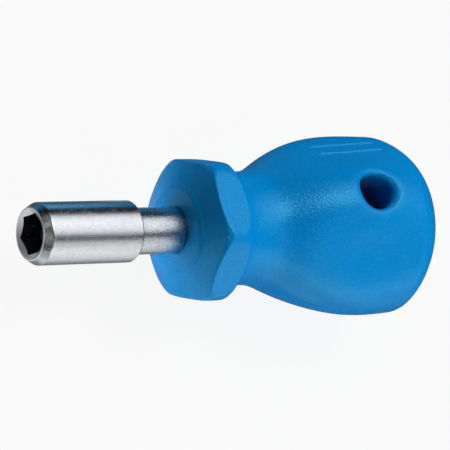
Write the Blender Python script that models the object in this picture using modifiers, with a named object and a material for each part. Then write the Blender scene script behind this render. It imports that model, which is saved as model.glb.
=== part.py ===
"""Stubby screwdriver that holds hexagon bits: moulded handle, steel shank, socket sleeve,
bit magnet and bit retaining ring.

The tool lies along X with the socket mouth towards -X, and the origin is on its axis at half
its length. The hanging hole runs along Z, and the handle's mould parts in the XY plane.
A station is a distance along the axis from the socket mouth.
"""
import math

import bmesh
import bpy

MM = 0.001

# Gap between pieces that seat on each other
SEAT_GAP = 0.3 * MM

# Bit socket
BIT_ACROSS_FLATS = 6.35 * MM
BIT_CLEARANCE = 0.05 * MM
SOCKET_DEPTH = 11.0 * MM
SOCKET_TURN = math.radians(16.3)
LEAD_IN_SLOPE = 0.48

# Bit retaining ring, a C of round wire in a groove of the socket wall
RING_WIRE_RADIUS = 0.35 * MM
RING_STANDOFF = 0.075 * MM
RING_STATION = 4.5 * MM
RING_OPENING = math.radians(44)

# Bit magnet
MAGNET_RADIUS = 2.5 * MM
MAGNET_LENGTH = 4.0 * MM
MAGNET_CHAMFER = 0.25 * MM

# Shank
SHANK_RADIUS = 4.0 * MM
SHANK_SHOWING = 9.5 * MM
SHANK_FRONT_CHAMFER = 0.4 * MM
SHANK_TAIL_CHAMFER = 0.8 * MM
WING_REACH = 1.5 * MM
WING_THICKNESS = 2.4 * MM
WING_LENGTH = 8.0 * MM
WING_TO_TAIL = 2.5 * MM

# Sleeve
SLEEVE_LENGTH = 19.4 * MM
SLEEVE_WALL = 0.97 * MM
SLEEVE_CHAMFER_LENGTH = 1.4 * MM
SLEEVE_CHAMFER_DEPTH = 0.78 * MM
SLEEVE_RIM_LAND = 0.12 * MM
SLEEVE_REAR_CHAMFER = 0.25 * MM

# Handle collar, a turned head with a conical front and six flats
COLLAR_RADIUS = 13.05 * MM
COLLAR_ACROSS_FLATS = 23.5 * MM
COLLAR_FACE_RADIUS = 7.2 * MM
COLLAR_CONE_RADIUS = 11.95 * MM
COLLAR_CONE_LENGTH = 2.15 * MM
COLLAR_EDGE_LENGTH = 1.35 * MM
COLLAR_BAND_LENGTH = 1.2 * MM
COLLAR_REAR_LENGTH = 8.3 * MM
COLLAR_EDGE_PULLS = (0.5 * MM, 0.55 * MM)
COLLAR_REAR_PULLS = (5.7 * MM, 8.1 * MM)

# Handle grip, which swells from the neck to its widest place and closes at a flat end
NECK_RADIUS = 9.87 * MM
GRIP_RADIUS = 15.3 * MM
GRIP_RISE_LENGTH = 30.0 * MM
GRIP_CLOSE_LENGTH = 8.6 * MM
END_RADIUS = 5.0 * MM
GRIP_RISE_PULLS = (7.3 * MM, 24.7 * MM)
GRIP_CLOSE_PULLS = (4.0 * MM, 2.0 * MM)

# The grip's section leans from a circle to a rounded square, and to an oval at its end
SQUARENESS = 0.09
OVALNESS = 0.039

# Hanging hole
HOLE_RADIUS = 3.25 * MM
HOLE_RIM = 0.8 * MM
HOLE_TO_END = 18.05 * MM
HOLE_TO_TAIL_WALL = 3.0 * MM

# Finishes, each a colour, a roughness and a metallic value
BLUE_PLASTIC = ((0.0, 0.21, 0.57), 0.45, 0.0)
SHANK_PLATING = ((0.56, 0.56, 0.58), 0.3, 1.0)
SLEEVE_PLATING = ((0.66, 0.66, 0.68), 0.28, 1.0)
MAGNET_PLATING = ((0.5, 0.49, 0.46), 0.25, 1.0)
SPRING_STEEL = ((0.3, 0.3, 0.32), 0.35, 1.0)

# Facets
HEXAGON_SIDES = 6
HANDLE_SIDES = 48
TURNED_SIDES = 48
HOLE_SIDES = 32
RING_POINTS = 25
WIRE_RESOLUTION = 2
RIM_STEPS = 4
CONE_STEPS = 3
EDGE_STEPS = 5
REAR_STEPS = 8
RISE_STEPS = 16
CLOSE_STEPS = 10
SHARP_ANGLE = math.radians(40)

# How far a cutter runs past the face that it opens
CUT_MARGIN = 2.0 * MM
WELD_DISTANCE = 0.000001

# Sizes that follow from those above
SOCKET_FLAT_RADIUS = BIT_ACROSS_FLATS / 2 + BIT_CLEARANCE
FLAT_TO_CORNER = 1 / math.cos(math.pi / HEXAGON_SIDES)
RING_RADIUS = SOCKET_FLAT_RADIUS + RING_STANDOFF + RING_WIRE_RADIUS
GROOVE_RADIUS = RING_RADIUS + RING_WIRE_RADIUS + SEAT_GAP
GROOVE_HALF_WIDTH = RING_WIRE_RADIUS + SEAT_GAP
BORE_RADIUS = SHANK_RADIUS + SEAT_GAP
SLEEVE_RADIUS = max(BORE_RADIUS, GROOVE_RADIUS) + SLEEVE_WALL
SLEEVE_RIM_RADIUS = SLEEVE_RADIUS - SLEEVE_CHAMFER_DEPTH
SHANK_FRONT = SOCKET_DEPTH + SEAT_GAP
MAGNET_POCKET_RADIUS = MAGNET_RADIUS + SEAT_GAP
MAGNET_POCKET_END = SOCKET_DEPTH + MAGNET_LENGTH + SEAT_GAP
COLLAR_FACE = SLEEVE_LENGTH + SHANK_SHOWING
CONE_REAR = COLLAR_FACE + COLLAR_CONE_LENGTH
CREST_FRONT = CONE_REAR + COLLAR_EDGE_LENGTH
CREST_REAR = CREST_FRONT + COLLAR_BAND_LENGTH
NECK = CREST_REAR + COLLAR_REAR_LENGTH
WIDEST = NECK + GRIP_RISE_LENGTH
HANDLE_END = WIDEST + GRIP_CLOSE_LENGTH
HOLE_STATION = HANDLE_END - HOLE_TO_END
SHANK_TAIL = HOLE_STATION - HOLE_RADIUS - HOLE_RIM - HOLE_TO_TAIL_WALL
WING_SPAN = 2 * (SHANK_RADIUS + WING_REACH)
WING_CENTRE = SHANK_TAIL - WING_TO_TAIL - WING_LENGTH / 2


def new_collection(name):
    collection = bpy.data.collections.new(name)
    bpy.context.scene.collection.children.link(collection)
    return collection


def new_material(name, finish):
    colour, roughness, metallic = finish
    material = bpy.data.materials.new(name)
    material.use_nodes = True
    shader = material.node_tree.nodes["Principled BSDF"]
    shader.inputs["Base Color"].default_value = (*colour, 1.0)
    shader.inputs["Roughness"].default_value = roughness
    shader.inputs["Metallic"].default_value = metallic
    return material


def place(obj, collection):
    """Put an object in its collection, with its +Z towards the socket mouth."""
    for old in list(obj.users_collection):
        old.objects.unlink(obj)
    collection.objects.link(obj)
    obj.parent = tool_axis
    if collection is cutters:
        obj.hide_render = True
        obj.display_type = "WIRE"
    return obj


def turned(name, profile, collection, sides=TURNED_SIDES):
    """A solid turned from (radius, station) points that run from the mouth to the handle."""
    mesh = bpy.data.meshes.new(name)
    points = [(radius, 0.0, -station) for radius, station in profile]
    mesh.from_pydata(points, [(i, i + 1) for i in range(len(points) - 1)], [])
    obj = place(bpy.data.objects.new(name, mesh), collection)
    screw = obj.modifiers.new("turn", "SCREW")
    screw.steps = sides
    screw.render_steps = sides
    screw.use_merge_vertices = True
    screw.merge_threshold = WELD_DISTANCE
    screw.use_smooth_shade = True
    weld = obj.modifiers.new("weld", "WELD")
    weld.merge_threshold = WELD_DISTANCE
    return obj


def cylinder_profile(radius, start, end):
    return [(0.0, start), (radius, start), (radius, end), (0.0, end)]


def hexagon_cutter(name, flat_radius, start, end, turn):
    """A hexagonal bar with a flat facing +X, then turned about the axis."""
    bpy.ops.mesh.primitive_cylinder_add(
        vertices=HEXAGON_SIDES, radius=flat_radius * FLAT_TO_CORNER, depth=end - start)
    obj = bpy.context.object
    obj.name = name
    obj.location = (0.0, 0.0, -(start + end) / 2)
    obj.rotation_euler = (0.0, 0.0, turn)
    return place(obj, cutters)


def block(name, size, centre, collection):
    bpy.ops.mesh.primitive_cube_add(size=1.0)
    obj = bpy.context.object
    obj.name = name
    for vertex in obj.data.vertices:
        vertex.co = [value * length for value, length in zip(vertex.co, size)]
    obj.location = centre
    return place(obj, collection)


def boolean(obj, operation, tool):
    modifier = obj.modifiers.new(tool.name, "BOOLEAN")
    modifier.operation = operation
    modifier.object = tool


def bezier(start, start_pull, end_pull, end, steps):
    """Points after the start of a curve through two places, steered by two pull points."""
    points = []
    for step in range(1, steps + 1):
        t = step / steps
        weights = ((1 - t) ** 3, 3 * t * (1 - t) ** 2, 3 * t * t * (1 - t), t ** 3)
        points.append(tuple(
            sum(weight * point[axis] for weight, point in zip(weights, (start, start_pull, end_pull, end)))
            for axis in (0, 1)))
    return points


def handle_profile():
    """The handle's mean (radius, station) points, from its front face to its end."""
    face = (COLLAR_FACE_RADIUS, COLLAR_FACE)
    cone_end = (COLLAR_CONE_RADIUS, CONE_REAR)
    crest_front = (COLLAR_RADIUS, CREST_FRONT)
    crest_rear = (COLLAR_RADIUS, CREST_REAR)
    neck = (NECK_RADIUS, NECK)
    widest = (GRIP_RADIUS, WIDEST)
    end = (END_RADIUS, HANDLE_END)
    cone_slope = (cone_end[1] - face[1]) / (cone_end[0] - face[0])
    cone = [(face[0] + (cone_end[0] - face[0]) * step / CONE_STEPS,
             face[1] + (cone_end[1] - face[1]) * step / CONE_STEPS) for step in range(CONE_STEPS + 1)]
    edge_pull = (cone_end[0] + COLLAR_EDGE_PULLS[0], cone_end[1] + COLLAR_EDGE_PULLS[0] * cone_slope)
    edge = bezier(cone_end, edge_pull, (crest_front[0], crest_front[1] - COLLAR_EDGE_PULLS[1]),
                  crest_front, EDGE_STEPS)
    rear = bezier(crest_rear, (crest_rear[0], crest_rear[1] + COLLAR_REAR_PULLS[0]),
                  (neck[0], neck[1] - COLLAR_REAR_PULLS[1]), neck, REAR_STEPS)
    rise = bezier(neck, (neck[0], neck[1] + GRIP_RISE_PULLS[0]),
                  (widest[0], widest[1] - GRIP_RISE_PULLS[1]), widest, RISE_STEPS)
    close = bezier(widest, (widest[0], widest[1] + GRIP_CLOSE_PULLS[0]),
                   (end[0] + GRIP_CLOSE_PULLS[1], end[1]), end, CLOSE_STEPS)
    return cone + edge + [crest_rear] + rear + rise + close


def section_factor(station, angle):
    """How far the grip's outline at a station leans out of round at an angle from +X."""
    share = max(0.0, (station - NECK) / (HANDLE_END - NECK))
    square = SQUARENESS * math.sin(math.pi * share) ** 2
    oval = OVALNESS * share
    return 1.0 + square * math.cos(4 * angle) - oval * math.cos(2 * angle)


def make_handle_body():
    """Loft the handle's rings, which go from round at the collar to square at the grip."""
    mesh_data = bmesh.new()
    rings = []
    for radius, station in handle_profile():
        ring = []
        for side in range(HANDLE_SIDES):
            angle = 2 * math.pi * side / HANDLE_SIDES
            reach = radius * section_factor(station, angle)
            ring.append(mesh_data.verts.new((reach * math.cos(angle), reach * math.sin(angle), -station)))
        rings.append(ring)
    for ring, following in zip(rings, rings[1:]):
        for side in range(HANDLE_SIDES):
            after = (side + 1) % HANDLE_SIDES
            mesh_data.faces.new((ring[side], following[side], following[after], ring[after]))
    mesh_data.faces.new(rings[0])
    mesh_data.faces.new(reversed(rings[-1]))
    mesh = bpy.data.meshes.new("handle")
    mesh_data.to_mesh(mesh)
    mesh_data.free()
    mesh.shade_smooth()
    mesh.set_sharp_from_angle(angle=SHARP_ANGLE)
    return place(bpy.data.objects.new("handle", mesh), parts)


def grip_reach_at_hole():
    """Distance from the axis to the grip's surface where the hanging hole comes out."""
    profile = handle_profile()
    for (radius, station), (next_radius, next_station) in zip(profile, profile[1:]):
        if station <= HOLE_STATION <= next_station and next_station > station:
            share = (HOLE_STATION - station) / (next_station - station)
            mean_radius = radius + share * (next_radius - radius)
    return mean_radius * section_factor(HOLE_STATION, 0.0)


def hole_cutter():
    """A cutter along X with a rounded flare at each mouth of the hanging hole."""
    reach = grip_reach_at_hole()
    mouth = HOLE_RADIUS + HOLE_RIM
    flare = []
    for step in range(RIM_STEPS + 1):
        turn = math.pi / 2 * step / RIM_STEPS
        flare.append((mouth - HOLE_RIM * math.sin(turn), reach - HOLE_RIM * (1 - math.cos(turn))))
    upper = [(0.0, reach + CUT_MARGIN), (mouth, reach + CUT_MARGIN)] + flare
    profile = [(radius, -height) for radius, height in upper]
    profile += [(radius, height) for radius, height in reversed(upper)]
    cutter = turned("hole_cutter", profile, cutters, HOLE_SIDES)
    cutter.rotation_euler = (0.0, math.pi / 2, 0.0)
    cutter.location = (0.0, 0.0, -HOLE_STATION)
    return cutter


def flats_cutter():
    """A round block round the collar with a hexagonal hole, which leaves the six flats."""
    start = COLLAR_FACE - CUT_MARGIN
    ring = turned("flats_cutter", cylinder_profile(COLLAR_RADIUS + CUT_MARGIN, start, NECK), cutters)
    boolean(ring, "DIFFERENCE", hexagon_cutter(
        "collar_hexagon", COLLAR_ACROSS_FLATS / 2, start - CUT_MARGIN, NECK + CUT_MARGIN, 0.0))
    return ring


def make_handle():
    handle = make_handle_body()
    handle.data.materials.append(new_material("blue_moulded_plastic", BLUE_PLASTIC))
    boolean(handle, "DIFFERENCE", flats_cutter())
    bore = cylinder_profile(BORE_RADIUS, COLLAR_FACE - CUT_MARGIN, SHANK_TAIL + SEAT_GAP)
    boolean(handle, "DIFFERENCE", turned("shank_bore", bore, cutters))
    pocket = (WING_THICKNESS + 2 * SEAT_GAP, WING_SPAN + 2 * SEAT_GAP, WING_LENGTH + 2 * SEAT_GAP)
    boolean(handle, "DIFFERENCE", block("wing_pocket", pocket, (0.0, 0.0, -WING_CENTRE), cutters))
    boolean(handle, "DIFFERENCE", hole_cutter())


def make_shank():
    shank = turned("shank", [
        (0.0, SHANK_FRONT),
        (SHANK_RADIUS - SHANK_FRONT_CHAMFER, SHANK_FRONT),
        (SHANK_RADIUS, SHANK_FRONT + SHANK_FRONT_CHAMFER),
        (SHANK_RADIUS, SHANK_TAIL - SHANK_TAIL_CHAMFER),
        (SHANK_RADIUS - SHANK_TAIL_CHAMFER, SHANK_TAIL),
        (0.0, SHANK_TAIL),
    ], parts)
    shank.data.materials.append(new_material("plated_steel", SHANK_PLATING))
    wings = block("wings", (WING_THICKNESS, WING_SPAN, WING_LENGTH), (0.0, 0.0, -WING_CENTRE), cutters)
    boolean(shank, "UNION", wings)
    pocket = cylinder_profile(MAGNET_POCKET_RADIUS, SHANK_FRONT - CUT_MARGIN, MAGNET_POCKET_END)
    boolean(shank, "DIFFERENCE", turned("magnet_pocket", pocket, cutters))


def make_sleeve():
    sleeve = turned("sleeve", [
        (0.0, 0.0),
        (SLEEVE_RIM_RADIUS, 0.0),
        (SLEEVE_RADIUS, SLEEVE_CHAMFER_LENGTH),
        (SLEEVE_RADIUS, SLEEVE_LENGTH - SLEEVE_REAR_CHAMFER),
        (SLEEVE_RADIUS - SLEEVE_REAR_CHAMFER, SLEEVE_LENGTH),
        (0.0, SLEEVE_LENGTH),
    ], parts)
    sleeve.data.materials.append(new_material("satin_plated_steel", SLEEVE_PLATING))
    boolean(sleeve, "DIFFERENCE", hexagon_cutter(
        "socket", SOCKET_FLAT_RADIUS, -CUT_MARGIN, SOCKET_DEPTH + SEAT_GAP, SOCKET_TURN))
    lead_in_radius = SLEEVE_RIM_RADIUS - SLEEVE_RIM_LAND
    lead_in = [(0.0, -CUT_MARGIN),
               (lead_in_radius + CUT_MARGIN / LEAD_IN_SLOPE, -CUT_MARGIN),
               (0.0, lead_in_radius * LEAD_IN_SLOPE)]
    boolean(sleeve, "DIFFERENCE", turned("lead_in", lead_in, cutters))
    groove_ends = (RING_STATION - GROOVE_HALF_WIDTH, RING_STATION + GROOVE_HALF_WIDTH)
    boolean(sleeve, "DIFFERENCE",
            turned("ring_groove", cylinder_profile(GROOVE_RADIUS, *groove_ends), cutters))
    bore = cylinder_profile(BORE_RADIUS, SOCKET_DEPTH, SLEEVE_LENGTH + CUT_MARGIN)
    boolean(sleeve, "DIFFERENCE", turned("sleeve_bore", bore, cutters))


def make_magnet():
    end = SOCKET_DEPTH + MAGNET_LENGTH
    magnet = turned("magnet", [
        (0.0, SOCKET_DEPTH),
        (MAGNET_RADIUS - MAGNET_CHAMFER, SOCKET_DEPTH),
        (MAGNET_RADIUS, SOCKET_DEPTH + MAGNET_CHAMFER),
        (MAGNET_RADIUS, end - MAGNET_CHAMFER),
        (MAGNET_RADIUS - MAGNET_CHAMFER, end),
        (0.0, end),
    ], parts)
    magnet.data.materials.append(new_material("nickel_plated_magnet", MAGNET_PLATING))


def make_retaining_ring():
    curve = bpy.data.curves.new("retaining_ring", "CURVE")
    curve.dimensions = "3D"
    curve.bevel_depth = RING_WIRE_RADIUS
    curve.bevel_resolution = WIRE_RESOLUTION
    curve.use_fill_caps = True
    spline = curve.splines.new("POLY")
    spline.points.add(RING_POINTS - 1)
    for index, point in enumerate(spline.points):
        angle = RING_OPENING / 2 + (2 * math.pi - RING_OPENING) * index / (RING_POINTS - 1)
        point.co = (RING_RADIUS * math.cos(angle), RING_RADIUS * math.sin(angle), -RING_STATION, 1.0)
    curve.materials.append(new_material("spring_steel", SPRING_STEEL))
    place(bpy.data.objects.new("retaining_ring", curve), parts)


for old_object in list(bpy.data.objects):
    bpy.data.objects.remove(old_object)

parts = new_collection("bit_holder_screwdriver")
cutters = new_collection("cutters")
tool_axis = bpy.data.objects.new("tool_axis", None)
tool_axis.location = (-HANDLE_END / 2, 0.0, 0.0)
tool_axis.rotation_euler = (0.0, -math.pi / 2, 0.0)
parts.objects.link(tool_axis)

make_handle()
make_shank()
make_sleeve()
make_magnet()
make_retaining_ring()
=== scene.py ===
"""Looks of a stubby bit holder screwdriver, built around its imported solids.

The tool lies along X with the socket mouth towards -X. A station is a distance along the axis from
the mouth, and an angle round the axis is counted from +Z towards +Y. Lengths are in metres.
"""
import math

import bmesh
import bpy
import numpy as np
from mathutils import Matrix, Vector


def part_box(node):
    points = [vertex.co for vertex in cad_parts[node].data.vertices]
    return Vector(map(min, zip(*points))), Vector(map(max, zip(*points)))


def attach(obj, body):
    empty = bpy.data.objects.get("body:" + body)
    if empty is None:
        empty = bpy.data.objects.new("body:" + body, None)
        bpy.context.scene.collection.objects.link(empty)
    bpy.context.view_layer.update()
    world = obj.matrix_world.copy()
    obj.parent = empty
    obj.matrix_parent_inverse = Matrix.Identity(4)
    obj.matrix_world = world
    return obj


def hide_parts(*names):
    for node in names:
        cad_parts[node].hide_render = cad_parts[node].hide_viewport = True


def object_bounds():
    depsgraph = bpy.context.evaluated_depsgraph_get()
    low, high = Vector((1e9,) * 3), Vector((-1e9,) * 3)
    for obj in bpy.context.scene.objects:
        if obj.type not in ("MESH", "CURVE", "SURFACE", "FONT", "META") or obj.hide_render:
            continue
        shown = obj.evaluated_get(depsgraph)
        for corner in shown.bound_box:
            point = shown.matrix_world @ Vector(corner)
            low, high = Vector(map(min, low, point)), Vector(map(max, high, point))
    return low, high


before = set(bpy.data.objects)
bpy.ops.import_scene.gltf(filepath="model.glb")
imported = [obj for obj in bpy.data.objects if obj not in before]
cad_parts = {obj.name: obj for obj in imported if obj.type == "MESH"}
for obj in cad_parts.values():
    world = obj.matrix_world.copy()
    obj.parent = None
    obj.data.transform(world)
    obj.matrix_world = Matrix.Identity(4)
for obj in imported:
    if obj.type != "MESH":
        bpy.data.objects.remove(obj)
cad_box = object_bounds()

MM = 0.001

# Places that the solids give
MOUTH_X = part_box("sleeve")[0].x
SLEEVE_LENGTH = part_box("sleeve")[1].x - MOUTH_X
SLEEVE_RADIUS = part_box("sleeve")[1].z
SHANK_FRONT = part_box("shank")[0].x - MOUTH_X
SHANK_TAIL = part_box("shank")[1].x - MOUTH_X
SHANK_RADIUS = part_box("shank")[1].z
COLLAR_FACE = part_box("handle")[0].x - MOUTH_X
HANDLE_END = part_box("handle")[1].x - MOUTH_X
MAGNET_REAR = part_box("magnet")[1].x - MOUTH_X
MAGNET_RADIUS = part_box("magnet")[1].z
RING_STATION = (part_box("retaining_ring")[0].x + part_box("retaining_ring")[1].x) / 2 - MOUTH_X

# Gap between pieces that seat in one another
SEAT_GAP = 0.3 * MM

# Collar of the handle, whose bore is drawn close to the shank so that no gap shows
FACE_RADIUS = 7.2 * MM
FACE_STEP_RADIUS = 8.1 * MM
FACE_STEP_HEIGHT = 0.06 * MM
FACE_STEP_ROUND = 0.02 * MM
FACE_BORE_GAP = 0.02 * MM
FACE_BORE_ROUND = 0.05 * MM
CONE_RADIUS = 11.95 * MM
CONE_LENGTH = 2.15 * MM
CREST_RADIUS = 13.05 * MM
CREST_EDGE_LENGTH = 1.35 * MM
CREST_EDGE_PULLS = (0.5 * MM, 0.55 * MM)
CREST_BAND_LENGTH = 1.2 * MM
COLLAR_REAR_LENGTH = 8.3 * MM
COLLAR_REAR_PULLS = (5.7 * MM, 8.1 * MM)
HALF_ACROSS_FLATS = 11.75 * MM
FLAT_EDGE_ROUND = 0.45 * MM
FLAT_ANGLE = math.radians(60)

# Grip of the handle; its squareness and ovalness are shares of its radius
NECK_RADIUS = 9.87 * MM
GRIP_RADIUS = 15.3 * MM
GRIP_RISE_LENGTH = 30.0 * MM
GRIP_RISE_PULLS = (7.3 * MM, 24.7 * MM)
GRIP_CLOSE_PULLS = (4.0 * MM, 2.0 * MM)
END_RADIUS = 5.0 * MM
SQUARENESS = 0.09
OVALNESS = 0.039
PARTING_HEIGHT = 0.04 * MM
PARTING_WIDTH = 0.16 * MM

# Hanging hole, and the window in the grip's mesh that it takes up
HOLE_RADIUS = 3.25 * MM
HOLE_RIM = 2.15 * MM
HOLE_RIM_PULL = 1.29 * MM
HOLE_TO_END = 18.05 * MM
HOLE_WINDOW = 6.5 * MM

# Two bare raised lines on the grip; their section is in shares of their width and height
PANEL_STATIONS = (56.6 * MM, 70.4 * MM)
PANEL_OFFSETS = (9.82 * MM, 12.1 * MM)
PANEL_LINE_WIDTH = 0.46 * MM
PANEL_LINE_HEIGHT = 0.3 * MM
PANEL_LINE_ROOT = 0.03 * MM
PANEL_LINE_FADE = 1.0 * MM
PANEL_LINE_SECTION = ((-0.5, 0.0), (-0.42, 0.3), (-0.25, 0.75), (0.0, 1.0),
                      (0.25, 0.75), (0.42, 0.3), (0.5, 0.0))

# Sleeve and shank
SOCKET_FLAT_RADIUS = 3.225 * MM
SOCKET_TURN = math.radians(16.3)
LEAD_IN_SLOPE = 0.48
SLEEVE_CHAMFER_LENGTH = 1.4 * MM
SLEEVE_CHAMFER_DEPTH = 0.78 * MM
SLEEVE_RIM_LAND = 0.2 * MM
SLEEVE_REAR_CHAMFER = 0.3 * MM
GROOVE_RADIUS = 4.3 * MM
GROOVE_HALF_WIDTH = 0.65 * MM
SHANK_CHAMFER = 0.4 * MM
STEEL_EDGE_ROUND = 0.12 * MM

# Camera, fitted to the photograph
IMAGE_PIXELS = 450
FOCAL_PIXELS = 2884.4
MOUTH_PIXEL = (29.45, 233.55)
MOUTH_DEPTH = 475.8 * MM
VIEW_TO_AXIS = math.radians(54.68)
VIEW_ROLL = math.radians(1.55)
VIEW_TURN = math.radians(23.6)
SENSOR_MILLIMETRES = 36.0
NEAREST_SEEN = 10 * MM

# Fineness of the meshes
COLUMNS = 384
FACE_SPACING = 0.25 * MM
EDGE_SPACING = 0.16 * MM
GRIP_SPACING = 0.5 * MM
END_SPACING = 1.0 * MM
PANEL_SPACING = 0.25 * MM
CURVE_STEPS = 60
CORNER_STEPS = 4
HOLE_SURROUND_LOOPS = 9
HOLE_RIM_LOOPS = 8
HOLE_WALL_LOOPS = 13
LEAD_IN_LOOPS = 7
HEIGHT_TRIES = 40
SMALL_STEP = 0.05 * MM
SLOPE_STEP = 0.1 * MM
EDGE_HOLD = 0.02 * MM
SHORTEST_HELD = 0.08 * MM
WELD_DISTANCE = 0.001 * MM
PLASTIC_SHARP_ANGLE = math.radians(40)
STEEL_SHARP_ANGLE = math.radians(25)

# Colours of the plastic
DEEP_BLUE = (0.0, 0.225, 0.607)
PALE_BLUE = (0.0, 0.247, 0.652)
SPECKLE_BLUE = (0.002, 0.33, 0.81)
SCUFF_BLUE = (0.03, 0.31, 0.70)
# Painted shade, mixed into the plastic inside holes and deep corners
PAINTED_CREVICE_SHADE = (0.13, 0.022, 0.085)
SHEEN_TINT = (0.3, 1.0, 1.0, 1.0)

# Patterns of the materials, in features a metre
CLOUD_SCALE = 70.0
GLOSS_SCALE = 320.0
RIPPLE_SCALE = 900.0
GRAIN_SCALE = 3600.0
SCUFF_SCALES = (260.0, 1500.0, 1500.0)
STEEL_PATCH_SCALE = 1800.0
STEEL_GLOSS_SCALE = 1500.0
STEEL_GRAIN_SCALE = 5200.0
TURNING_SCALES = (9000.0, 60.0, 60.0)

# Bumps of the materials, and how far they look for the crevices that get painted shade
RIPPLE_HEIGHT = 0.02 * MM
GRAIN_HEIGHT = 0.055 * MM
STEEL_GRAIN_HEIGHT = 0.05 * MM
TURNING_HEIGHT = 0.004 * MM
PLASTIC_CREVICE_REACH = 14 * MM
STEEL_CREVICE_REACH = 5 * MM
CREVICE_SAMPLES = 8

# Colour sockets of a mix node, by number, because other sockets of the node have the same names
MIX_COLOUR_INPUTS = (6, 7)
MIX_COLOUR_OUTPUT = 2

# Floor, background, lamps and reflection cards
FLOOR_HEIGHT = cad_box[0][2]
CARD_LIFT = 0.1 * MM
FLOOR_REACH = 3.0
FLOOR_GREY = 0.6
FLOOR_ROUGHNESS = 0.9
FLOOR_GLOW = 0.04
FLOOR_WHITENESS = 0.9
AMBIENT_COLOUR = (0.7, 0.85, 1.0)
AMBIENT_STRENGTH = 0.025
LAMP_DISTANCE = 0.8
LAMP_TARGET = (0.01, 0.0, 0.0)
BLACK = (0.0, 0.0, 0.0)
WHITE = (1.0, 1.0, 1.0, 1.0)

# Sizes that follow
BORE_RADIUS = SHANK_RADIUS + SEAT_GAP
FACE_BORE_RADIUS = SHANK_RADIUS + FACE_BORE_GAP
CONE_REAR = COLLAR_FACE + CONE_LENGTH
CREST_FRONT = CONE_REAR + CREST_EDGE_LENGTH
CREST_REAR = CREST_FRONT + CREST_BAND_LENGTH
NECK = CREST_REAR + COLLAR_REAR_LENGTH
WIDEST = NECK + GRIP_RISE_LENGTH
HOLE_STATION = HANDLE_END - HOLE_TO_END
HOLE_MOUTH_RADIUS = HOLE_RADIUS + HOLE_RIM
CARD_HEIGHT = FLOOR_HEIGHT + CARD_LIFT
CONE_SLOPE = CONE_LENGTH / (CONE_RADIUS - FACE_RADIUS)
ALL_ANGLES = 2 * math.pi * np.arange(COLUMNS) / COLUMNS


# Curves and meshes

def cubic(share, pulls):
    """The place at a share of the way along a cubic curve that is steered by four others."""
    rest = 1 - share
    weights = (rest ** 3, 3 * share * rest ** 2, 3 * share * share * rest, share ** 3)
    return sum(weight * pull for weight, pull in zip(weights, pulls))


def bezier(*pulls):
    """Points along a cubic curve that is steered by four (radius, station) points."""
    return cubic(np.linspace(0, 1, CURVE_STEPS)[:, None], np.array(pulls))


def swept(start, end, pulls):
    """A curve that leaves one (radius, station) point and reaches another along the axis."""
    return bezier(start, (start[0], start[1] + pulls[0]), (end[0], end[1] - pulls[1]), end)


def spaced(points, spacing):
    """The same path with its points an even distance apart."""
    points = np.array(points, float)
    along = np.concatenate([[0], np.cumsum(np.linalg.norm(np.diff(points, axis=0), axis=1))])
    wanted = np.linspace(0, along[-1], max(2, round(along[-1] / spacing) + 1))
    return np.column_stack([np.interp(wanted, along, points[:, axis]) for axis in (0, 1)])


def joined(*stretches):
    """Stretches of a path as one, without the repeated points where they meet."""
    return np.concatenate([stretches[0]] + [stretch[1:] for stretch in stretches[1:]])


def rounded(points, radius):
    """A path of (radius, station) points with its inner corners cut round."""
    points = np.array(points, float)
    path = [points[0]]
    for before, corner, after in zip(points, points[1:], points[2:]):
        into = before - corner
        out = after - corner
        reach = min(radius, np.linalg.norm(into) / 2, np.linalg.norm(out) / 2)
        start = corner + into / np.linalg.norm(into) * reach
        end = corner + out / np.linalg.norm(out) * reach
        for t in np.linspace(0, 1, CORNER_STEPS + 1):
            path.append((1 - t) ** 2 * start + 2 * t * (1 - t) * corner + t * t * end)
    path.append(points[-1])
    return np.array(path)


def held(points):
    """A path with more points close to its corners, so that its straight stretches shade flat."""
    path = [points[0]]
    for start, end in zip(points, points[1:]):
        length = np.linalg.norm(end - start)
        if length > SHORTEST_HELD:
            step = (end - start) / length * EDGE_HOLD
            path += [start + step, end - step]
        path.append(end)
    return np.array(path)


def unit(vectors):
    """The same directions with a length of 1."""
    return vectors / np.linalg.norm(vectors, axis=1)[:, None]


def from_flat(angle):
    """The angle from the middle of the nearest of a hexagon's flats."""
    return (angle + FLAT_ANGLE / 2) % FLAT_ANGLE - FLAT_ANGLE / 2


def on_axis(station, radius, angle):
    """World points at a station, a radius and an angle, from arrays that may differ in shape."""
    station, radius, angle = np.broadcast_arrays(station, radius, angle)
    return np.stack([MOUTH_X + station, radius * np.sin(angle), radius * np.cos(angle)], axis=-1)


def ring_faces(rows, columns, wrap_rows=False):
    """Quads of a grid of points whose columns go right round."""
    return [(i * columns + j, (i + 1) % rows * columns + j,
             (i + 1) % rows * columns + (j + 1) % columns, i * columns + (j + 1) % columns)
            for i in range(rows if wrap_rows else rows - 1) for j in range(columns)]


def new_piece(name, vertices, faces, material, sharp_angle):
    """A smooth-shaded piece of the object, with its normals out and double points joined."""
    mesh = bpy.data.meshes.new(name)
    mesh.from_pydata(np.asarray(vertices).tolist(), [], faces)
    shape = bmesh.new()
    shape.from_mesh(mesh)
    bmesh.ops.remove_doubles(shape, verts=shape.verts, dist=WELD_DISTANCE)
    bmesh.ops.recalc_face_normals(shape, faces=shape.faces)
    shape.to_mesh(mesh)
    shape.free()
    mesh.shade_smooth()
    mesh.set_sharp_from_angle(angle=sharp_angle)
    mesh.materials.append(material)
    piece = bpy.data.objects.new(name, mesh)
    bpy.context.scene.collection.objects.link(piece)
    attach(piece, "root")
    return piece


# Handle

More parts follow.
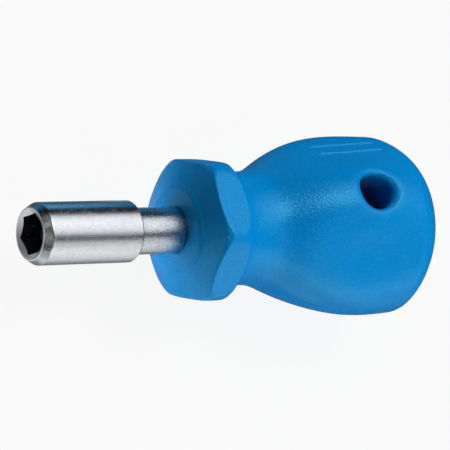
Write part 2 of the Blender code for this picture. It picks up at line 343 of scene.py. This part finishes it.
def handle_profile():
    """The handle's mean (radius, station) points, from the bottom of its bore to the middle of its end."""
    bore_end = SHANK_TAIL + SEAT_GAP
    raised = COLLAR_FACE - FACE_STEP_HEIGHT
    step_head = (FACE_STEP_RADIUS, raised + (FACE_STEP_RADIUS - FACE_RADIUS) * CONE_SLOPE)
    step_foot = (FACE_STEP_RADIUS + FACE_STEP_HEIGHT, step_head[1] + FACE_STEP_HEIGHT * (1 + CONE_SLOPE))
    cone_end = (CONE_RADIUS, CONE_REAR)
    crest = (CREST_RADIUS, CREST_FRONT)
    crest_rear = (CREST_RADIUS, CREST_REAR)
    neck = (NECK_RADIUS, NECK)
    widest = (GRIP_RADIUS, WIDEST)
    end = (END_RADIUS, HANDLE_END)
    face = rounded([(FACE_BORE_RADIUS, bore_end), (FACE_BORE_RADIUS, raised), (FACE_RADIUS, raised),
                    step_head], FACE_BORE_ROUND)
    step = rounded([step_head, step_foot, cone_end], FACE_STEP_ROUND)
    edge = bezier(cone_end,
                  (CONE_RADIUS + CREST_EDGE_PULLS[0], CONE_REAR + CREST_EDGE_PULLS[0] * CONE_SLOPE),
                  (CREST_RADIUS, CREST_FRONT - CREST_EDGE_PULLS[1]), crest)
    close = bezier(widest, (GRIP_RADIUS, WIDEST + GRIP_CLOSE_PULLS[0]),
                   (END_RADIUS + GRIP_CLOSE_PULLS[1], HANDLE_END), end)
    return joined([(0.0, bore_end), face[0]], face, step[:-1],
                  spaced([step[-2], cone_end], FACE_SPACING),
                  spaced(edge, EDGE_SPACING),
                  spaced([crest, crest_rear], EDGE_SPACING),
                  spaced(swept(crest_rear, neck, COLLAR_REAR_PULLS), EDGE_SPACING),
                  spaced(swept(neck, widest, GRIP_RISE_PULLS), GRIP_SPACING),
                  spaced(close, GRIP_SPACING),
                  spaced([end, (0.0, HANDLE_END)], END_SPACING))


profile = handle_profile()
neck_row = int(np.argmin(np.abs(profile[:, 1] - NECK)))
grip_outline = profile[neck_row:]


def smaller(first, second, blend):
    """The smaller of two arrays, with the change from one to the other rounded."""
    share = np.clip(0.5 + 0.5 * (second - first) / blend, 0, 1)
    return second * (1 - share) + first * share - blend * share * (1 - share)


def handle_radius(mean, station, angle):
    """The handle's radius at an angle, where its mean radius at that station is known."""
    share = np.clip((station - NECK) / (HANDLE_END - NECK), 0, 1)
    square = SQUARENESS * np.sin(np.pi * share) ** 2
    factor = 1 + square * np.cos(4 * angle) - OVALNESS * share * np.cos(2 * angle)
    with_flats = smaller(mean, HALF_ACROSS_FLATS / np.cos(from_flat(angle)), FLAT_EDGE_ROUND)
    radius = np.where(station < NECK, with_flats, mean * factor)
    parting = PARTING_HEIGHT * np.exp(-(mean * np.cos(angle) / PARTING_WIDTH) ** 2)
    return radius + np.where(mean > FACE_STEP_RADIUS, parting, 0)


def grip_radius(station, angle):
    """The grip's radius at a station and an angle."""
    mean = np.interp(station, grip_outline[:, 1], grip_outline[:, 0])
    return handle_radius(mean, np.maximum(station, NECK), angle)


def grip_height(station, across):
    """How high the grip's upper side is over the axis, at a distance across it."""
    angle = np.zeros_like(across)
    for _ in range(HEIGHT_TRIES):
        angle = np.arcsin(np.clip(across / grip_radius(station, angle), -1, 1))
    return grip_radius(station, angle) * np.cos(angle)


def grip_row(station):
    """The row of the handle's profile that is closest to a station on the grip."""
    return neck_row + int(np.argmin(np.abs(grip_outline[:, 1] - station)))


def window_outline(first, last, middle, half):
    """The (row, column) pairs round a window in the handle's grid of points."""
    across = [middle + step for step in range(-half, half + 1)]
    return ([(first, column) for column in across[:-1]]
            + [(row, across[-1]) for row in range(first, last)]
            + [(last, column) for column in reversed(across[1:])]
            + [(row, across[0]) for row in range(last, first, -1)])


def hole_loops(outline, side):
    """Loops of points from an outline on the grip down the hanging hole's rim to its middle."""
    centre_x = MOUTH_X + HOLE_STATION
    away = outline[:, :2] - np.array([centre_x, 0.0])
    reach = np.linalg.norm(away, axis=1)
    direction = away / reach[:, None]

    def on_grip(distance):
        place = direction * distance[:, None]
        return grip_height(HOLE_STATION + place[:, 0], place[:, 1])

    def loop(distance, height):
        place = direction * distance[:, None]
        return np.column_stack([centre_x + place[:, 0], place[:, 1], side * height])

    rim = np.full_like(reach, HOLE_MOUTH_RADIUS)
    wall = np.full_like(reach, HOLE_RADIUS)
    rim_height = on_grip(rim)
    slope = (on_grip(rim + SLOPE_STEP) - rim_height) / SLOPE_STEP
    wall_top = rim_height - slope * HOLE_RIM - HOLE_RIM
    distances = (rim, rim - HOLE_RIM_PULL, wall, wall)
    heights = (rim_height, rim_height - slope * HOLE_RIM_PULL, wall_top + HOLE_RIM_PULL, wall_top)
    loops = []
    for share in np.linspace(1, 0, HOLE_SURROUND_LOOPS + 1)[1:]:
        distance = rim + (reach - rim) * share
        loops.append(loop(distance, on_grip(distance)))
    for share in np.linspace(0, 1, HOLE_RIM_LOOPS + 1)[1:]:
        loops.append(loop(cubic(share, distances), cubic(share, heights)))
    for share in np.linspace(1, 0, HOLE_WALL_LOOPS + 1)[1:]:
        loops.append(loop(wall, wall_top * share))
    return loops


def make_handle(material):
    """The moulded handle, with a window in its grip at each end of the hanging hole."""
    mean, station = profile[:, :1], profile[:, 1:]
    points = on_axis(station, handle_radius(mean, station, ALL_ANGLES), ALL_ANGLES)
    vertices = list(points.reshape(-1, 3))
    first = grip_row(HOLE_STATION - HOLE_WINDOW)
    last = grip_row(HOLE_STATION + HOLE_WINDOW)
    half = round(math.asin(HOLE_WINDOW / GRIP_RADIUS) / (2 * math.pi) * COLUMNS)
    faces = []
    for face in ring_faces(len(profile), COLUMNS):
        row, column = divmod(face[0], COLUMNS)
        from_hole = (column + COLUMNS // 4) % (COLUMNS // 2) - COLUMNS // 4
        if not (first <= row < last and -half <= from_hole < half):
            faces.append(face)
    for side, middle in ((1, 0), (-1, COLUMNS // 2)):
        before = [row * COLUMNS + column % COLUMNS
                  for row, column in window_outline(first, last, middle, half)]
        count = len(before)
        for loop in hole_loops(np.array([vertices[index] for index in before]), side):
            after = list(range(len(vertices), len(vertices) + count))
            vertices.extend(loop)
            faces += [(before[i], before[(i + 1) % count], after[(i + 1) % count], after[i])
                      for i in range(count)]
            before = after
    piece = new_piece("handle_body", vertices, faces, material, PLASTIC_SHARP_ANGLE)
    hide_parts("handle")


def make_panel(material):
    """Two thin raised lines on the grip, which fade into it at their ends."""
    start, end = PANEL_STATIONS
    station = np.linspace(start, end, round((end - start) / PANEL_SPACING) + 1)
    from_end = np.minimum(station - start, end - station)
    height = PANEL_LINE_HEIGHT * np.clip(from_end / PANEL_LINE_FADE, 0, 1)[:, None]

    def surface(along, across):
        return np.column_stack([MOUTH_X + along, across, grip_height(along, across)])

    vertices, faces = [], []
    for distance in PANEL_OFFSETS:
        offset = np.full_like(station, distance)
        line = surface(station, offset)
        along = surface(station + SMALL_STEP, offset) - line
        across = surface(station, offset + SMALL_STEP) - line
        normal = unit(np.cross(along, across))
        sideways = unit(np.cross(normal, along))
        rows = np.stack([line + place * PANEL_LINE_WIDTH * sideways + (up * height - PANEL_LINE_ROOT) * normal
                         for place, up in PANEL_LINE_SECTION], axis=1)
        base, count = len(vertices), rows.shape[1]
        faces += [(base + i * count + j, base + (i + 1) * count + j,
                   base + (i + 1) * count + j + 1, base + i * count + j + 1)
                  for i in range(len(station) - 1) for j in range(count - 1)]
        vertices += list(rows.reshape(-1, 3))
    new_piece("handle_panel_lines", vertices, faces, material, PLASTIC_SHARP_ANGLE)


# Steel pieces

def make_sleeve(material):
    """A tube with a hexagon socket: its outline goes down the outside and back through the socket."""
    rim_radius = SLEEVE_RADIUS - SLEEVE_CHAMFER_DEPTH
    lead_in_radius = rim_radius - SLEEVE_RIM_LAND
    hexagon = SOCKET_FLAT_RADIUS / np.cos(from_flat(ALL_ANGLES - SOCKET_TURN))
    round_part = held(rounded([
        (lead_in_radius, 0.0), (rim_radius, 0.0), (SLEEVE_RADIUS, SLEEVE_CHAMFER_LENGTH),
        (SLEEVE_RADIUS, SLEEVE_LENGTH - SLEEVE_REAR_CHAMFER),
        (SLEEVE_RADIUS - SLEEVE_REAR_CHAMFER, SLEEVE_LENGTH),
        (BORE_RADIUS, SLEEVE_LENGTH), (BORE_RADIUS, SHANK_FRONT)], STEEL_EDGE_ROUND))
    rows = [on_axis(station, radius, ALL_ANGLES) for radius, station in round_part]
    groove_front = RING_STATION - GROOVE_HALF_WIDTH
    groove_rear = RING_STATION + GROOVE_HALF_WIDTH
    for radius, station in ((hexagon, SHANK_FRONT), (hexagon, groove_rear), (GROOVE_RADIUS, groove_rear),
                            (GROOVE_RADIUS, groove_front), (hexagon, groove_front)):
        rows.append(on_axis(station, radius, ALL_ANGLES))
    for share in np.linspace(0, 1, LEAD_IN_LOOPS + 1)[:-1]:
        radius = hexagon + (lead_in_radius - hexagon) * share
        rows.append(on_axis((lead_in_radius - radius) * LEAD_IN_SLOPE, radius, ALL_ANGLES))
    piece = new_piece("sleeve_tube", np.concatenate(rows), ring_faces(len(rows), COLUMNS, True),
                      material, STEEL_SHARP_ANGLE)
    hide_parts("sleeve")


def make_shank(material):
    """A round bar with a pocket for the magnet in its front end."""
    pocket_radius = MAGNET_RADIUS + SEAT_GAP
    pocket_end = MAGNET_REAR + SEAT_GAP
    outline = held(rounded([
        (0.0, pocket_end), (pocket_radius, pocket_end), (pocket_radius, SHANK_FRONT),
        (SHANK_RADIUS - SHANK_CHAMFER, SHANK_FRONT), (SHANK_RADIUS, SHANK_FRONT + SHANK_CHAMFER),
        (SHANK_RADIUS, SHANK_TAIL - SHANK_CHAMFER), (SHANK_RADIUS - SHANK_CHAMFER, SHANK_TAIL),
        (0.0, SHANK_TAIL)], STEEL_EDGE_ROUND))
    rows = [on_axis(station, radius, ALL_ANGLES) for radius, station in outline]
    piece = new_piece("shank_bar", np.concatenate(rows), ring_faces(len(rows), COLUMNS),
                      material, STEEL_SHARP_ANGLE)
    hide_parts("shank")


def dress(node, material):
    """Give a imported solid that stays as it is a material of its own."""
    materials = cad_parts[node].data.materials
    materials.clear()
    materials.append(material)


# Materials

def new_node(tree, kind, **values):
    """A shader node, with its properties or its inputs set by name."""
    node = tree.nodes.new(kind)
    for name, value in values.items():
        label = name.replace("_", " ").title()
        if label in node.inputs:
            node.inputs[label].default_value = value
        else:
            setattr(node, name, value)
    return node


def new_material(name):
    """A material with its nodes and its main shader."""
    material = bpy.data.materials.new(name)
    material.use_nodes = True
    tree = material.node_tree
    return material, tree, tree.nodes["Principled BSDF"]


def noise(tree, scale, detail=2.0, roughness=0.5, stretch=(1, 1, 1)):
    """Noise in the object's own space, with its scale in features a metre."""
    place = new_node(tree, "ShaderNodeTexCoord")
    mapping = new_node(tree, "ShaderNodeMapping")
    mapping.inputs["Scale"].default_value = stretch
    texture = new_node(tree, "ShaderNodeTexNoise", scale=scale, detail=detail, roughness=roughness)
    tree.links.new(place.outputs["Object"], mapping.inputs["Vector"])
    tree.links.new(mapping.outputs["Vector"], texture.inputs["Vector"])
    return texture.outputs["Fac"]


def spread(tree, value, source, target):
    """A value whose stretch between two numbers is mapped to the stretch between two others."""
    node = new_node(tree, "ShaderNodeMapRange")
    for name, number in zip(("From Min", "From Max", "To Min", "To Max"), (*source, *target)):
        node.inputs[name].default_value = number
    tree.links.new(value, node.inputs["Value"])
    return node.outputs["Result"]


def mixed(tree, share, first, second):
    """A colour between two others, which are colours or outputs."""
    node = new_node(tree, "ShaderNodeMix", data_type="RGBA")
    for number, value in zip(MIX_COLOUR_INPUTS, (first, second)):
        if isinstance(value, tuple):
            node.inputs[number].default_value = (*value, 1.0)
        else:
            tree.links.new(value, node.inputs[number])
    tree.links.new(share, node.inputs[0])
    return node.outputs[MIX_COLOUR_OUTPUT]


def bump(tree, height, strength, distance, normal=None):
    """A normal that follows a height, on top of another normal where one is given."""
    node = new_node(tree, "ShaderNodeBump", strength=strength, distance=distance)
    tree.links.new(height, node.inputs["Height"])
    if normal:
        tree.links.new(normal, node.inputs["Normal"])
    return node.outputs["Normal"]


def crevices(tree, reach, source):
    """0 in corners and holes that are narrower than the reach, and 1 on open surfaces."""
    closeness = new_node(tree, "ShaderNodeAmbientOcclusion", samples=CREVICE_SAMPLES, distance=reach)
    return spread(tree, closeness.outputs["AO"], source, (0.0, 1.0))


def plastic_material():
    """Moulded blue plastic with a fine blasted grain and faint scuffs, and painted shade inside holes and
    deep corners.
    """
    material, tree, shader = new_material("satin_blue_plastic")
    cloud = spread(tree, noise(tree, CLOUD_SCALE), (0.35, 0.65), (0.0, 1.0))
    body = mixed(tree, cloud, DEEP_BLUE, PALE_BLUE)
    speckle = spread(tree, noise(tree, GRAIN_SCALE, detail=1.0), (0.4, 0.64), (0.0, 0.5))
    grained = mixed(tree, speckle, body, SPECKLE_BLUE)
    streaks = noise(tree, 1.0, detail=3.0, roughness=0.6, stretch=SCUFF_SCALES)
    scuffed = mixed(tree, spread(tree, streaks, (0.64, 0.8), (0.0, 0.3)), grained, SCUFF_BLUE)
    # Painted shade: a dark purple is mixed into the colour where little is open round the surface, inside the
    # hanging hole and deep corners
    open_parts = crevices(tree, PLASTIC_CREVICE_REACH, (0.08, 0.22))
    tree.links.new(mixed(tree, open_parts, PAINTED_CREVICE_SHADE, scuffed), shader.inputs["Base Color"])
    rough = spread(tree, noise(tree, GLOSS_SCALE, detail=3.0), (0.3, 0.7), (0.2, 0.27))
    tree.links.new(rough, shader.inputs["Roughness"])
    shader.inputs["Specular Tint"].default_value = SHEEN_TINT
    ripple = bump(tree, noise(tree, RIPPLE_SCALE), 0.1, RIPPLE_HEIGHT)
    grain = bump(tree, noise(tree, GRAIN_SCALE, detail=0.0), 1.0, GRAIN_HEIGHT, ripple)
    tree.links.new(grain, shader.inputs["Normal"])
    return material


def steel_material(name, colour, dark, roughness, grain_strength, shade=(0.02, 0.02, 0.02)):
    """Plated steel with a fine grain, faint turning lines round the axis and small dull patches, and painted
    shade where it is closed in.
    """
    material, tree, shader = new_material(name)
    shader.inputs["Metallic"].default_value = 1.0
    patches = spread(tree, noise(tree, STEEL_PATCH_SCALE, detail=4.0, roughness=0.6), (0.35, 0.7), (0.0, 1.0))
    # Painted shade: the shade colour is mixed in where the steel is closed in, in the socket, the bore and
    # where pieces meet
    open_parts = crevices(tree, STEEL_CREVICE_REACH, (0.35, 0.9))
    tree.links.new(mixed(tree, open_parts, shade, mixed(tree, patches, colour, dark)),
                   shader.inputs["Base Color"])
    rough = spread(tree, noise(tree, STEEL_GLOSS_SCALE, detail=3.0), (0.3, 0.7),
                   (roughness * 0.8, roughness * 1.25))
    tree.links.new(rough, shader.inputs["Roughness"])
    lines = noise(tree, 1.0, roughness=0.6, stretch=TURNING_SCALES)
    turned = bump(tree, lines, 0.15, TURNING_HEIGHT)
    grain = bump(tree, noise(tree, STEEL_GRAIN_SCALE, detail=3.0, roughness=0.6), grain_strength,
                 STEEL_GRAIN_HEIGHT, turned)
    tree.links.new(grain, shader.inputs["Normal"])
    return material


# Studio

def new_lamp(name, size, watts, matrix):
    """A rectangular lamp that lights the object and does not show in its reflections."""
    light = bpy.data.lights.new(name, "AREA")
    light.shape = "RECTANGLE"
    light.size, light.size_y = size
    light.energy = watts
    lamp = bpy.data.objects.new(name, light)
    lamp.matrix_world = matrix
    lamp.visible_glossy = False
    bpy.context.scene.collection.objects.link(lamp)
    return lamp


def add_light(name, direction, size, watts):
    """A lamp out along a direction, turned to the tool."""
    away = Vector(direction).normalized()
    matrix = (-away).to_track_quat("-Z", "Y").to_matrix().to_4x4()
    matrix.translation = Vector(LAMP_TARGET) + away * LAMP_DISTANCE
    new_lamp(name, size, watts, matrix)


def add_bounce(name, place, size, watts):
    """A lamp that shines up from the floor and is not seen itself."""
    matrix = Matrix.Translation((*place, CARD_HEIGHT)) @ Matrix.Rotation(math.pi, 4, "X")
    new_lamp(name, size, watts, matrix).visible_camera = False


def level(z, x_low, x_high, y_low, y_high):
    """Corners of a level rectangle."""
    return ((x_low, y_low, z), (x_high, y_low, z), (x_high, y_high, z), (x_low, y_high, z))


def on_floor(x_low, x_high, y_low, y_high):
    """Corners of a rectangle just over the floor."""
    return level(CARD_HEIGHT, x_low, x_high, y_low, y_high)


def across_x(x, y_low, y_high, z_low, z_high):
    """Corners of an upright rectangle that faces along X."""
    return ((x, y_low, z_low), (x, y_high, z_low), (x, y_high, z_high), (x, y_low, z_high))


def across_y(y, x_low, x_high, z_low, z_high):
    """Corners of an upright rectangle that faces along Y."""
    return ((x_low, y, z_low), (x_high, y, z_low), (x_high, y, z_high), (x_low, y, z_high))


def in_directions(distance, *directions):
    """Corners in directions from the object's middle, each an azimuth and an elevation in degrees."""
    corners = []
    for direction in directions:
        azimuth, elevation = map(math.radians, direction)
        corners.append((distance * math.cos(elevation) * math.cos(azimuth),
                        distance * math.cos(elevation) * math.sin(azimuth),
                        distance * math.sin(elevation)))
    return corners


def grey(value):
    """A colour without a hue."""
    return (value, value, value)


def add_card(name, corners, colour):
    """A card of one colour that shows only in reflections, where it paints a highlight or a dark reflection,
    and lights nothing.
    """
    mesh = bpy.data.meshes.new(name)
    mesh.from_pydata(corners, [], [(0, 1, 2, 3)])
    material = bpy.data.materials.new(name)
    material.use_nodes = True
    tree = material.node_tree
    tree.nodes.remove(tree.nodes["Principled BSDF"])
    glow = new_node(tree, "ShaderNodeEmission", color=(*colour, 1.0))
    tree.links.new(glow.outputs["Emission"], tree.nodes["Material Output"].inputs["Surface"])
    mesh.materials.append(material)
    card = bpy.data.objects.new(name, mesh)
    bpy.context.scene.collection.objects.link(card)
    card.visible_camera = False
    card.visible_diffuse = False
    card.visible_shadow = False
    card.visible_transmission = False


def seen_directly(tree):
    """1 on rays that show the background itself or its reflection, and 0 on rays that light the object."""
    path = new_node(tree, "ShaderNodeLightPath")
    both = new_node(tree, "ShaderNodeMath", operation="MAXIMUM")
    tree.links.new(path.outputs["Is Camera Ray"], both.inputs[0])
    tree.links.new(path.outputs["Is Glossy Ray"], both.inputs[1])
    every = new_node(tree, "ShaderNodeMath", operation="MAXIMUM")
    tree.links.new(both.outputs[0], every.inputs[0])
    tree.links.new(path.outputs["Is Transmission Ray"], every.inputs[1])
    return every.outputs[0]


def choose(tree, share, first, second, output):
    """Send one of two shaders to an output, or a share of each."""
    choice = new_node(tree, "ShaderNodeMixShader")
    tree.links.new(share, choice.inputs[0])
    tree.links.new(first.outputs[0], choice.inputs[1])
    tree.links.new(second.outputs[0], choice.inputs[2])
    tree.links.new(choice.outputs[0], tree.nodes[output].inputs["Surface"])


def make_world():
    """A background that looks white and gives the object a faint blue light."""
    world = bpy.data.worlds.new("studio")
    world.use_nodes = True
    bpy.context.scene.world = world
    tree = world.node_tree
    lighting = tree.nodes["Background"]
    lighting.inputs["Color"].default_value = (*AMBIENT_COLOUR, 1.0)
    lighting.inputs["Strength"].default_value = AMBIENT_STRENGTH
    white = new_node(tree, "ShaderNodeBackground", color=WHITE, strength=1.0)
    choose(tree, seen_directly(tree), lighting, white, "World Output")


def make_floor():
    """A pale floor that looks white and keeps a faint shadow, lit from below like a shooting table."""
    mesh = bpy.data.meshes.new("floor")
    mesh.from_pydata(level(FLOOR_HEIGHT, -FLOOR_REACH, FLOOR_REACH, -FLOOR_REACH, FLOOR_REACH),
                     [], [(0, 1, 2, 3)])
    material, tree, shader = new_material("pale_floor")
    shader.inputs["Base Color"].default_value = (*grey(FLOOR_GREY), 1.0)
    shader.inputs["Roughness"].default_value = FLOOR_ROUGHNESS
    shader.inputs["Emission Color"].default_value = WHITE
    shader.inputs["Emission Strength"].default_value = FLOOR_GLOW
    white = new_node(tree, "ShaderNodeEmission", color=WHITE, strength=1.0)
    share = new_node(tree, "ShaderNodeMath", operation="MULTIPLY")
    tree.links.new(seen_directly(tree), share.inputs[0])
    share.inputs[1].default_value = FLOOR_WHITENESS
    choose(tree, share.outputs[0], shader, white, "Material Output")
    mesh.materials.append(material)
    floor = bpy.data.objects.new("floor", mesh)
    bpy.context.scene.collection.objects.link(floor)


def make_camera():
    """A camera that sees the socket mouth at its pixel, from the photograph's angle."""
    axis = Vector((1.0, 0.0, 0.0))
    facing = Vector((0.0, -math.sin(VIEW_TURN), math.cos(VIEW_TURN)))
    upward = Vector((0.0, math.cos(VIEW_TURN), math.sin(VIEW_TURN)))
    across = math.sin(VIEW_TO_AXIS) * axis + math.cos(VIEW_TO_AXIS) * facing
    right = math.cos(VIEW_ROLL) * across - math.sin(VIEW_ROLL) * upward
    down = -math.sin(VIEW_ROLL) * across - math.cos(VIEW_ROLL) * upward
    forward = math.cos(VIEW_TO_AXIS) * axis - math.sin(VIEW_TO_AXIS) * facing
    middle = (IMAGE_PIXELS - 1) / 2
    offset_x, offset_y = ((pixel - middle) / FOCAL_PIXELS * MOUTH_DEPTH for pixel in MOUTH_PIXEL)
    data = bpy.data.cameras.new("camera")
    data.sensor_width = SENSOR_MILLIMETRES
    data.lens = FOCAL_PIXELS / IMAGE_PIXELS * data.sensor_width
    data.clip_start = NEAREST_SEEN
    camera = bpy.data.objects.new("camera", data)
    bpy.context.scene.collection.objects.link(camera)
    mouth = Vector((MOUTH_X, 0.0, 0.0))
    matrix = Matrix((right, -down, -forward)).transposed().to_4x4()
    matrix.translation = mouth - offset_x * right - offset_y * down - MOUTH_DEPTH * forward
    camera.matrix_world = matrix
    bpy.context.scene.camera = camera


# The tool

blue = plastic_material()
make_handle(blue)
make_panel(blue)
make_sleeve(steel_material("satin_chrome", (0.74, 0.75, 0.77), (0.66, 0.67, 0.69),
                           roughness=0.22, grain_strength=0.6))
# The shank's painted shade is blue, as if lit by light thrown back from the blue handle
make_shank(steel_material("bright_steel", (0.70, 0.71, 0.73), (0.58, 0.59, 0.61),
                          roughness=0.24, grain_strength=0.6, shade=(0.1, 0.19, 0.27)))
dress("magnet", steel_material("magnet_nickel", (0.60, 0.58, 0.54), (0.46, 0.44, 0.41),
                               roughness=0.3, grain_strength=0.3))
dress("retaining_ring", steel_material("oiled_spring_steel", (0.30, 0.30, 0.32), (0.16, 0.16, 0.17),
                                       roughness=0.35, grain_strength=0.3))

# The studio round it

make_floor()
make_world()

add_light("overhead", (0.41, 0.1, 0.91), size=(0.35, 0.35), watts=4.8)
add_light("fill", (0.2, -0.66, 0.72), size=(0.3, 0.3), watts=1.0)
add_light("near_side", (0.3, -0.95, 0.1), size=(0.6, 0.4), watts=2.8)
add_light("far_side", (-0.2, 1.0, 0.06), size=(0.6, 0.4), watts=2.6)
add_bounce("front_bounce", (-0.034, 0.0), size=(0.04, 0.03), watts=0.009)
add_bounce("tip_bounce", (-0.052, -0.0085), size=(0.03, 0.011), watts=0.008)
add_bounce("grip_bounce", (0.025, -0.02), size=(0.07, 0.09), watts=0.008)

# Cards that paint the reflections in the steel and plastic and light nothing: the bright ones are painted
# highlights, the dark ones painted dark reflections
add_card("front_wall", across_x(-0.5, -0.5, 0.5, CARD_HEIGHT, 0.75), (0.06, 0.07, 0.07))
add_card("back_wall", across_y(0.5, -0.5, 0.6, CARD_HEIGHT, 0.55), BLACK)
add_card("back_blue", across_y(0.49, -0.3, 0.6, CARD_HEIGHT, 0.1), (0.012, 0.11, 0.23))
add_card("end_wall", across_x(0.6, -0.45, 0.5, CARD_HEIGHT, 0.5), BLACK)
add_card("near_wall", in_directions(0.7, (-130, 18), (-44, 27.5), (-35, 38.5), (-130, 72)),
         (0.03, 0.05, 0.07))
add_card("near_shade", in_directions(0.72, (-130, 8), (-67, 11), (-58, 25), (-130, 25)), grey(0.2))
add_card("near_wall_left", across_y(-0.5, -0.5, -0.1, CARD_HEIGHT, 0.19), BLACK)
add_card("ceiling", level(0.8, -0.5, 0.2, -0.6, 0.7), BLACK)
add_card("softbox", ((-0.05, 0.0, 0.75), (0.8, -0.5, 0.75), (0.9, 0.75, 0.75), (-0.05, 0.65, 0.75)),
         (1.1, 1.12, 1.15))
add_card("top_core", in_directions(0.6, (-60, 73), (45, 66), (134, 66), (178, 79)), grey(4.4))
add_card("front_strip", in_directions(0.45, (-150, 27), (-178, 27), (-178, 36), (-150, 36)), grey(3.4))
add_card("side_core", in_directions(0.4, (-104, -4), (-70, -4), (-70, 5), (-104, 5)), grey(2.6))
# Painted shadow of the tool on the floor on its far side, seen only in reflections, blue as if lit by light
# thrown back from the handle
add_card("floor_far", on_floor(-0.3, 0.03, 0.05, 0.5), (0.04, 0.15, 0.27))
add_card("floor_far_shade", on_floor(-0.3, 0.03, 0.03, 0.05), (0.03, 0.08, 0.12))
add_card("back_glint", across_y(0.06, -0.03, 0.011, -0.004, 0.014), (0.14, 0.42, 0.76))
add_card("grip_shade", across_y(-0.056, 0.028, 0.078, 0.022, 0.06), (0.1, 0.11, 0.13))
# More of the blue painted shadow on the far side, past the handle
add_card("floor_far_end", on_floor(0.03, 0.6, 0.03, 0.5), (0.002, 0.1, 0.25))
add_card("floor_end", on_floor(0.08, 0.6, -0.1, 0.03), BLACK)
add_card("floor_end_near", on_floor(0.08, 0.6, -0.5, -0.1), (0.32, 0.33, 0.35))
# The floor under and close round the tool, seen only in reflections: the darker cards are painted shadow of
# the tool, the lighter ones lit floor that paints highlights
add_card("floor_under", on_floor(-0.044, 0.002, -0.012, 0.01), (0.2, 0.22, 0.24))
add_card("floor_under_tip", on_floor(-0.09, -0.062, -0.012, 0.01), (0.6, 0.62, 0.62))
add_card("floor_rim", on_floor(-0.062, -0.044, -0.004, 0.01), (0.75, 0.78, 0.78))
add_card("floor_rim_near", on_floor(-0.062, -0.044, -0.012, -0.004), (0.9, 0.92, 0.92))
add_card("floor_under_grip", on_floor(0.002, 0.08, -0.03, 0.03), (0.06, 0.1, 0.16))
add_card("floor_behind", on_floor(-0.04, -0.008, 0.01, 0.03), (0.1, 0.115, 0.13))
add_card("floor_behind_shank", on_floor(-0.008, 0.002, 0.01, 0.03), (0.4, 0.5, 0.57))
add_card("floor_behind_tip", on_floor(-0.09, -0.04, 0.01, 0.03), (0.28, 0.3, 0.3))
add_card("floor_beside", on_floor(-0.09, 0.002, -0.018, -0.012), (0.5, 0.52, 0.54))
add_card("floor_tip", on_floor(-0.09, 0.002, -0.03, -0.018), (0.78, 0.8, 0.82))
add_card("floor_near", on_floor(-0.03, -0.005, -0.5, -0.03), (0.88, 0.9, 0.92))
add_card("floor_corner", on_floor(-0.09, -0.03, -0.5, -0.03), (0.42, 0.44, 0.44))
add_card("floor_shade", on_floor(0.02, 0.08, -0.06, -0.03), (0.25, 0.27, 0.3))
add_card("floor_glow", on_floor(-0.005, 0.08, -0.2, -0.06), grey(1.1))
add_card("floor_front", on_floor(-0.5, -0.09, -0.5, 0.3), (0.27, 0.28, 0.28))

make_camera()

bpy.context.scene.view_settings.view_transform = "Standard"
